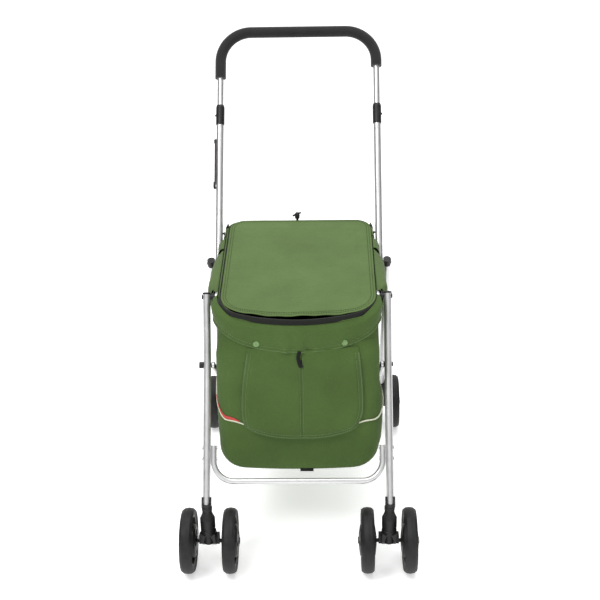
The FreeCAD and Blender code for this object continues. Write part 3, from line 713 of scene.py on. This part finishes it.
def top_cover():
    insets = [0, 1.5, 3.2, 5.2, 6.6, 7.7, 8.8, 11, 15, 22, 32]
    scales = [1 - step / 24 for step in range(1, 24)]
    centre = Vector((0, (cover_low.y + cover_high.y) / 2, 0))
    points = []
    for inset in insets:
        for place, outward in COVER_PLAN:
            spot = place - outward * (inset * MM)
            spot.x += COVER_SHIFT
            spot.z = cover_surface(spot, inset * MM)
            points.append(spot)
    last_ring = [place - outward * (insets[-1] * MM) for place, outward in COVER_PLAN]
    for scale in scales:
        for spot in last_ring:
            point = centre.lerp(spot, scale)
            point.x += COVER_SHIFT
            point.z = cover_surface(point, 60 * MM)
            points.append(point)
    rings = len(insets) + len(scales)
    faces = grid_faces(rings, AROUND, closed_columns=True)
    middle = centre + Vector((COVER_SHIFT, 0, 0))
    middle.z = cover_surface(middle, 60 * MM)
    points.append(middle)
    for c in range(AROUND):
        faces.append(((rings - 1) * AROUND + c, (rings - 1) * AROUND + (c + 1) % AROUND, len(points) - 1))
    return thicken(mesh_piece("top_cover", points, faces, cover_fabric_painted_lighter), 1.5 * MM, offset=-1.0, levels=1)


def cover_stitching():
    rows = []
    for inset in (5.0, 10.2):
        path = []
        for place, outward in COVER_PLAN[::2]:
            spot = place - outward * (inset * MM)
            spot.x += COVER_SHIFT
            spot.z = cover_surface(spot, inset * MM) + 0.25 * MM
            path.append(spot)
        path.append(path[0])
        rows.append(stitches("cover_stitch", path, lambda _: Vector((0, 0, 1)), cover_thread))
    return join("cover_stitching", rows)


# ---------------------------------------------------------------- front apron
PANEL_CLOTH = 1.2 * MM
APRON_REACH = 216 * MM      # how far round the rim the apron runs from its middle
RIM_GIRTH = girth(RIM_PLAN)


def apron_hem(reach):
    beyond = smooth_step(118 * MM, 205 * MM, abs(reach))
    return (462 + 17 * min(1.2, abs(reach - 4 * MM) / (142 * MM)) ** 2.2 + 14 * beyond) * MM


def apron_top(reach, y):
    """The apron's upper edge: under the rim in front, and as high as the rim where it flares."""
    return wall_top(y) + (-3.0 + 11 * smooth_step(118 * MM, 172 * MM, abs(reach))) * MM


def apron_point(reach, down):
    """A point on the apron's cloth: it hangs close in front and flares away at the sides."""
    place, outward = along_plan(RIM_PLAN, reach / RIM_GIRTH)
    top = apron_top(reach, place.y)
    hem = apron_hem(reach)
    z = top + (hem - top) * down
    flare = smooth_step(120 * MM, 176 * MM, abs(reach))
    flare *= 1 - 0.3 * smooth_step(190 * MM, 212 * MM, abs(reach))
    middle = bell(reach - 10 * MM, 70 * MM)
    folds = math.sin(reach * 165 + 1.1 * math.sin(reach * 57)) * 2.3 * middle * down ** 1.2
    folds += math.sin(reach * 72 + 2.0) * 0.9 * down
    loose = ripple(place.x * 15, place.y * 15, z * 9 + 4) * 1.5 * (0.3 + 0.7 * down)
    belly = 3.2 * math.sin(math.pi * min(1, down * 1.02)) * (1 - flare * 0.6)
    above_hem = (1 - down) * (top - hem)
    roll = 1.5 * bell(above_hem, 3.0 * MM)
    groove = 1.1 * bell(above_hem - 6.5 * MM, 1.2 * MM)
    spread = smooth_step(0, 0.24, down)
    out = 1.6 + 2.8 * spread + 10.4 * flare * spread * (1 - 0.45 * down) + belly
    out = out + folds * (1 - 0.6 * flare) + loose + roll - groove
    point = place + outward * (out * MM)
    near_end = smooth_step(depth(150), depth(180), point.y)
    point.y = min(point.y, depth(185.5))
    limit = (176 - 2.5 * near_end) * MM
    point.x = max(-limit, min(limit, point.x))
    point.z = z
    return point, outward


def front_apron():
    columns, rows = 190, 34
    points = []
    for row in range(rows + 1):
        for column in range(columns + 1):
            reach = APRON_REACH * (2 * column / columns - 1)
            points.append(apron_point(reach, row / rows)[0])
    piece = mesh_piece("front_apron", points, grid_faces(rows + 1, columns + 1), fabric)
    return thicken(piece, PANEL_CLOTH, levels=1)


def apron_stitching():
    count = 120
    path, outwards = [], []
    for i in range(count):
        reach = APRON_REACH * 0.97 * (2 * i / (count - 1) - 1)
        top = apron_top(reach, along_plan(RIM_PLAN, reach / RIM_GIRTH)[0].y)
        point, outward = apron_point(reach, 1 - 6.5 * MM / (top - apron_hem(reach)))
        path.append(point + outward * (0.8 * MM))
        outwards.append(outward)

    def facing(p):
        return outwards[min(range(count), key=lambda k: (path[k] - p).length_squared)]
    return stitches("apron_stitching", path, facing)


def apron_edging():
    """The apron's hem is turned over a thin cord."""
    steps = 160
    path = [apron_point(APRON_REACH * 0.995 * (2 * i / steps - 1), 1.0)[0] for i in range(steps + 1)]
    return sweep("apron_edging", path, round_section(1.5 * MM, 8), seam_fabric)


def front_of(piece, x, z):
    """The place where a line from the front first meets a piece, or None."""
    hit, place, _, _ = piece.ray_cast(Vector((x, FRONT - 0.1, z)), Vector((0, 1, 0)))
    return place if hit else None


def front_path(pairs, spacing=4 * MM, closed=False):
    return smooth_path([Vector((x, 0, z)) for x, z in pairs], spacing, closed)


def front_rows(piece, pairs, name):
    """Stitches laid on a piece's front along (x, z) points."""
    places = [front_of(piece, point.x, point.z) for point in front_path(pairs)]
    placed = [place + Vector((0, -0.1 * MM, 0)) for place in places if place is not None]
    return stitches(name, placed, lambda _: Vector((0, -1, 0)))


def snap_caps():
    profile = [(0.3, 0), (0.3, 5.0), (-0.6, 6.4), (-1.6, 6.4), (-2.2, 5.4), (-2.0, 3.6),
               (-1.5, 2.9), (-1.7, 1.6), (-2.0, 0)]
    profile = [(a * MM, r * MM) for a, r in profile]
    caps = [lathe("snap", profile, front_of(apron, x, 477 * MM), snap_plastic, 1, 32)
            for x in (-81 * MM, 97 * MM)]
    return join("snap_caps", caps)


# ---------------------------------------------------------------- front pocket
POCKET_TOP = 461 * MM
POCKET_SEAM = 9 * MM


def pocket_edge(z, side):
    """The pocket's side edges: narrow at the top, widest lower down, round at the bottom."""
    down = (POCKET_TOP - z) / MM
    if side < 0:
        edge = -100 - 15.5 * math.sin(min(1.0, down / 135) * math.pi / 2)
        edge += 5 * smooth_step(135, 190, down)
    else:
        edge = 126 + 9 * math.sin(min(1.0, down / 125) * math.pi / 2)
        edge -= 14 * smooth_step(130, 190, down)
    return edge * MM


def pocket_across(z, share, inset=0.0):
    """A place between the pocket's side edges, or between lines inside them."""
    return (pocket_edge(z, -1) + inset) * (1 - share) + (pocket_edge(z, 1) - inset) * share


def pocket_hem_height(x):
    left = max(0.0, -(x - 4 * MM) / (118 * MM))
    right = max(0.0, (x - 4 * MM) / (124 * MM))
    return (266 + 26 * left ** 2.6 + 25 * right ** 2.6) * MM


def wall_front(x, z):
    place = front_of(body, x, z)
    return place.y if place is not None else FRONT


def pocket_panel():
    columns, rows = 110, 76
    points = []
    for row in range(rows + 1):
        for column in range(columns + 1):
            across = column / columns
            low = pocket_hem_height(pocket_across(282 * MM, across))
            z = low + (POCKET_TOP + 5 * MM - low) * row / rows
            x = pocket_across(z, across)
            inside = min(x - pocket_edge(z, -1), pocket_edge(z, 1) - x)
            puff = smooth_step(-3 * MM, 14 * MM, inside)
            puff *= smooth_step(-6 * MM, 14 * MM, z - low)
            top_close = 1 - 0.85 * smooth_step(436 * MM, 462 * MM, z)
            valley = bell(x - POCKET_SEAM, 3.0 * MM)
            channel = bell(inside - 8.5 * MM, 1.6 * MM)
            droop = ripple(x * 9, 1.7, z * 5)
            loose = droop * 1.9 + ripple(x * 34, 4.1, z * 10) * 0.45
            pull = math.sin(x * 110 + ripple(x * 10, 0, z * 10) * 2) * 0.8
            pull *= smooth_step(405 * MM, 455 * MM, z)
            foot = 6.0 * (1 - smooth_step(292 * MM, 350 * MM, z)) * smooth_step(0, 20 * MM, inside)
            out = 1.5 + foot + puff * (5.4 + loose + pull) * top_close
            out -= (valley * 3.2 + channel * 1.5) * puff * top_close
            out += 0.9 * smooth_step(0, 30 * MM, POCKET_TOP - z)
            points.append(Vector((x, wall_front(x, z) - out * MM, z)))
    piece = mesh_piece("pocket_panel", points, grid_faces(rows + 1, columns + 1), fabric)
    return thicken(piece, PANEL_CLOTH, levels=1)


def pocket_border(inset):
    """(x, z) points down the pocket's left side, along its hem and up its right side."""
    path = [(pocket_edge(z * MM, -1) + inset, z * MM) for z in range(456, 306, -12)]
    for i in range(25):
        across = i / 24
        x = pocket_across(286 * MM, across, inset)
        path.append((x, pocket_hem_height(x) + inset))
    path += [(pocket_edge(z * MM, 1) - inset, z * MM) for z in range(312, 462, 12)]
    return path


def pocket_stitching():
    rows = [front_rows(pocket, pocket_border(inset * MM), "pocket_stitch") for inset in (2.6, 8.5)]
    for x in (POCKET_SEAM - 3 * MM, POCKET_SEAM + 3 * MM):
        rows.append(front_rows(pocket, [(x, z * MM) for z in range(272, 462, 14)], "pocket_seam_stitch"))
    return join("pocket_stitching", rows)


def pocket_edging():
    """A folded edge finishes the pocket's sides and bottom."""
    placed = []
    for point in front_path(pocket_border(1.2 * MM)):
        place = front_of(pocket, point.x, point.z)
        y = place.y if place is not None else wall_front(point.x, point.z) - 3.0 * MM
        placed.append(Vector((point.x, y + 0.2 * MM, point.z)))
    return sweep("pocket_edging", placed, round_section(1.5 * MM, 8), seam_fabric, up=Vector((0, 1, 0)))


# ---------------------------------------------------------------- straps and small webbing
def webbing_strip(name, path, half, thin, side=Vector((1, 0, 0))):
    section = [(-half, -thin), (-half * 0.5, -thin * 1.15), (half * 0.5, -thin * 1.15), (half, -thin),
               (half, thin), (half * 0.5, thin * 1.15), (-half * 0.5, thin * 1.15), (-half, thin)]
    rings = []
    for i, point in enumerate(path):
        ahead = (path[min(i + 1, len(path) - 1)] - path[max(i - 1, 0)]).normalized()
        across = (side - ahead * side.dot(ahead)).normalized()
        lift = ahead.cross(across).normalized()
        rings.append([point + across * a + lift * b for a, b in section])
    faces = grid_faces(len(rings), 8, closed_columns=True)
    faces += [tuple(reversed(range(8))), tuple(range((len(rings) - 1) * 8, len(rings) * 8))]
    return mesh_piece(name, [p for ring in rings for p in ring], faces, webbing)


def path_from(origin, places):
    """A smooth line through places given in millimetres from an origin."""
    x, y, z = origin
    return smooth_path([Vector((x + a * MM, y + b * MM, z + c * MM)) for a, b, c in places], 2 * MM)


def strap_loop():
    """A short folded webbing loop hangs from under the apron over the pocket's centre seam."""
    y = front_of(pocket, 6 * MM, 446 * MM).y
    path = path_from((0, y, 0), [(6, -1.4, 466), (3.2, -2.6, 452), (5.2, -4.6, 441), (8.6, -5.4, 433),
                                 (9.6, -4.2, 430.5), (8.2, -3.2, 435), (6.2, -2.4, 446)])
    return webbing_strip("strap_loop", path, 3.6 * MM, 0.6 * MM)


def bottom_tab():
    """A folded webbing tab is sewn into the bag's lower front edge."""
    y = wall_point(17 * MM / GIRTH, FLOOR + 5 * MM)[0].y
    path = path_from((0, y, FLOOR), [(17, 6, -0.2), (17, 1, -0.9), (17, -1.8, 0.6), (17, -1.6, 4),
                                     (17, -0.9, 6)])
    return webbing_strip("bottom_tab", path, 14 * MM, 0.9 * MM)


def corner_tab(side_name, side):
    """A webbing tab is folded over the top edge near each back corner."""
    y = depth(466)
    path = path_from((side * 161 * MM, y, wall_top(y) + 7.6 * MM),
                     [(-side, 0, -0.2), (side * 2.0, 0, 0.4), (side * 5.0, 0, -1.5), (side * 6.6, 0, -8)])
    return webbing_strip("corner_tab_" + side_name, path, 6 * MM, 0.7 * MM, side=Vector((0, 1, 0)))


def cord_toggle():
    """A cord lock stands behind the cover: a round barrel on a thin stem, with a slanting bar."""
    toggle_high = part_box("rear_toggle")[1]
    y, top = toggle_high.y - 4 * MM, toggle_high.z
    profile = [(-26, 0), (-26, 2.6), (-17, 2.8), (-15, 5.2), (-9, 5.8), (-4, 5.2), (-1.5, 4.0), (-1, 0)]
    barrel = lathe("barrel", [(z * MM, r * MM) for z, r in profile], (-4.5 * MM, y, top), black, 2, 20)
    path = path_from((0, y, top), [(-15, 0, -9.5), (-9, 0, -6.5), (-2, 0, -3.6), (4, 0, -1.4)])
    return join("cord_toggle", [barrel, sweep("bar", path, round_section(2.1 * MM, 10), black)])


# ---------------------------------------------------------------- side sleeves
def closed_curve(controls, count):
    curve = front_path(controls, 0.4 * MM, closed=True)
    return [curve[round(i * len(curve) / count) % len(curve)] for i in range(count)]


def padded_tube(name, side, first, run, steps, section_at, thickness):
    """A soft sleeve lofted through sections along the frame's side rail, open at both ends."""
    count = 44
    points = []
    for station in [first + run * i / steps for i in range(steps + 1)]:
        for p in closed_curve(section_at(station), count):
            y = depth(station)
            wrinkle = ripple(p.x * 30, y * 22 + side, p.z * 22) * 1.1 * MM
            wrinkle += ripple(1.5, y * 60 + side * 3, p.z * 14) * 0.5 * MM
            outer = max(0.0, (p.x - 168 * MM) / (20 * MM))
            outer = min(1.0, outer)
            points.append(Vector((side * (p.x + wrinkle * outer), y, p.z + wrinkle * 0.6 * outer)))
    faces = grid_faces(steps + 1, count, closed_columns=True)
    piece = mesh_piece(name, points, faces, sleeve_fabric)
    return thicken(piece, thickness * MM, offset=-1.0, levels=1)


def sleeve_section(station):
    """Section of the sleeve: it slopes from the rim down to the rail and wraps beneath it."""
    top = wall_top(depth(station)) + 4 * MM
    end = smooth_step(203, 226, station) * (0.75 + 0.25 * smooth_step(0, 12, 368 - station))
    slope = top - 553 * MM
    outer = (178.4 + 9.6 * end) * MM
    return [(164.9 * MM, 510 * MM), (164.7 * MM, 535 * MM), (164.9 * MM, top - 3 * MM),
            (167.5 * MM, top - 0.5 * MM), (174 * MM, 553 * MM + slope * 0.66),
            (outer - 5.5 * MM, 553 * MM + slope * 0.30), (outer, 546 * MM),
            (outer + 0.8 * MM, 528 * MM), (outer - 0.6 * MM, 509 * MM),
            (outer - 8 * MM, 503 * MM), (169 * MM, 503 * MM)]


def lobe_section(station):
    """Section of the fabric's puffed corner in front of the handle tube, which it stays clear of."""
    low = 546 * MM if station < 388 else (546 + (station - 388) / 0.68) * MM
    top = wall_top(depth(station)) + 6 * MM
    taper = 1 - smooth_step(398, 421, station)
    outer = (166.8 + 13.2 * taper) * MM
    low = min(low, top - 5 * MM)
    shoulder = outer * 0.55 + 166 * MM * 0.45
    return [(164.8 * MM, low + 1.5 * MM), (164.7 * MM, (low + top) / 2), (164.9 * MM, top - 2 * MM),
            (166 * MM, top), (shoulder, top - 3 * MM), (outer - 0.8 * MM, low * 0.45 + top * 0.55),
            (outer, low * 0.8 + top * 0.2), (outer - 2.5 * MM, low)]


def flank_section(station):
    """Section of the flank behind the sleeve, which hugs the bag's top edge up to the back corner."""
    top = wall_top(depth(station)) + 6.5 * MM
    back = smooth_step(420, 484, station)
    low = (548 + 22 * back) * MM
    outer = (171.2 - 3.4 * back) * MM
    inner = (164.8 - 3.0 * back) * MM
    return [(inner, low + 4 * MM), (inner - 0.2 * MM, (low + top) / 2),
            (inner - 0.2 * MM, top - 2 * MM), (inner + 2.4 * MM, top), (outer - 1.6 * MM, top - 5 * MM),
            (outer, top - 15 * MM), (outer, low + 8 * MM), (outer - 2.6 * MM, low)]


def sleeves():
    for side_name, side in SIDES:
        sleeve = padded_tube("rail_sleeve_cloth_" + side_name, side, 202, 166, 32, sleeve_section, 1.6)
        finish_piece(sleeve, "rails", ["rail_sleeve_" + side_name], folds=False)
        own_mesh(sleeve)
        lobe = padded_tube("sleeve_lobe_" + side_name, side, 371.5, 52, 16, lobe_section, 1.2)
        finish_piece(lobe, FRAME_BODY)
        flank = padded_tube("rear_flank_" + side_name, side, 426, 56, 12, flank_section, 1.2)
        finish_piece(flank, FRAME_BODY)


# ---------------------------------------------------------------- place the bag's pieces
cover = top_cover()
apron = front_apron()
bpy.context.view_layer.update()
pocket = pocket_panel()
bpy.context.view_layer.update()
apron_threads = apron_stitching()
apron_cord = apron_edging()
snaps = snap_caps()
pocket_threads = pocket_stitching()
pocket_fold = pocket_edging()
loop = strap_loop()
tab = bottom_tab()
board = floor_board()
seam_cord = piping()
trim = red_trim()
cover_threads = cover_stitching()

finish_piece(body, FRAME_BODY, ["bag_shell"])
finish_piece(board, FRAME_BODY, ["bag_board"])
finish_piece(rim_binding(), FRAME_BODY, ["bag_rim"])
for sewn in (seam_cord, trim, edging_cord(), pocket_threads, pocket_fold, side_welt()):
    finish_piece(sewn, FRAME_BODY)
finish_piece(cover, "cover", ["bag_cover"])
finish_piece(cover_threads, "cover")
finish_piece(apron, "flap", ["front_flap"])
finish_piece(apron_threads, "flap")
finish_piece(apron_cord, "flap")
finish_piece(snaps, "flap", ["flap_snaps"])
finish_piece(pocket, FRAME_BODY, ["front_pocket"])
finish_piece(loop, FRAME_BODY, folds=False)
finish_piece(tab, FRAME_BODY, folds=False)
finish_piece(cord_toggle(), FRAME_BODY, ["rear_toggle"])
for side_name, side in SIDES:
    finish_piece(corner_tab(side_name, side), FRAME_BODY)
sleeves()


# ---------------------------------------------------------------- stage, lights, camera
def stage():
    size = 40.0
    # the floor gives off a little light of its own, which keeps it white and its shadows faint
    floor_material, _, shader = new_material("floor", (0.95, 0.95, 0.95), 0.9, specular=0.1)
    set_inputs(shader, Emission_Color=(1, 1, 1, 1), Emission_Strength=0.45)
    floor = mesh_piece("floor", [(-size, -size, 0), (size, -size, 0), (size, size, 0), (-size, size, 0)],
                       [(0, 1, 2, 3)], floor_material, smooth=False)


def sky():
    """A white studio that is darker towards both sides, which gives round tubes dark edges."""
    world = bpy.data.worlds.new("studio")
    bpy.context.scene.world = world
    world.use_nodes = True
    tree = world.node_tree
    split = new_node(tree, "SeparateXYZ")
    link(tree, new_node(tree, "TexCoord").outputs["Generated"], split, "Vector")
    aside = math_node(tree, "ABSOLUTE", split.outputs["X"], 0.0)
    stops = ((0.0, 1), (0.55, 1), (0.82, 0.12), (1.0, 0.08))
    dark = ramp_node(tree, aside, [(place, (grey,) * 3) for place, grey in stops])
    # the visible backdrop stays white: the dark sides act only on the lighting and reflections
    visible = new_node(tree, "MixRGB", Color2=(1, 1, 1, 1))
    link(tree, new_node(tree, "LightPath").outputs["Is Camera Ray"], visible, "Fac")
    link(tree, dark, visible, "Color1")
    background = tree.nodes["Background"]
    link(tree, visible.outputs["Color"], background, "Color")
    set_inputs(background, Strength=0.98)


def area_light(name, place, target, size, power):
    data = bpy.data.lights.new(name, "AREA")
    data.shape = "RECTANGLE"
    data.size, data.size_y = size
    data.energy = power
    light = bpy.data.objects.new(name, data)
    bpy.context.collection.objects.link(light)
    light.location = place
    light.rotation_euler = (Vector(target) - Vector(place)).to_track_quat("-Z", "Y").to_euler()


def camera():
    pitch, turn, roll = math.radians(23.106), math.radians(1.482), math.radians(-1.022)
    ahead = Vector((-math.sin(turn) * math.cos(pitch), math.cos(turn) * math.cos(pitch),
                    -math.sin(pitch)))
    right = Vector((math.cos(turn), math.sin(turn), 0))
    up = right.cross(ahead)
    rolled_right = right * math.cos(roll) + up * math.sin(roll)
    rolled_up = up * math.cos(roll) - right * math.sin(roll)
    data = bpy.data.cameras.new("camera")
    data.lens = 65.51
    data.sensor_width = 36.0
    view = bpy.data.objects.new("camera", data)
    bpy.context.collection.objects.link(view)
    turned = Matrix((rolled_right, rolled_up, -ahead)).transposed().to_4x4()
    place = Vector((0.0600, -2.2116, 1.4187))
    view.matrix_world = Matrix.Translation(place) @ turned
    bpy.context.scene.camera = view


stage()
sky()
area_light("key", (-1.3, -1.6, 3.0), (0, 0, 0.5), (1.1, 1.1), 46)
area_light("top", (0.2, 0.3, 3.2), (0, 0, 0.5), (1.6, 1.6), 40)
camera()
bpy.context.scene.view_settings.view_transform = "Standard"
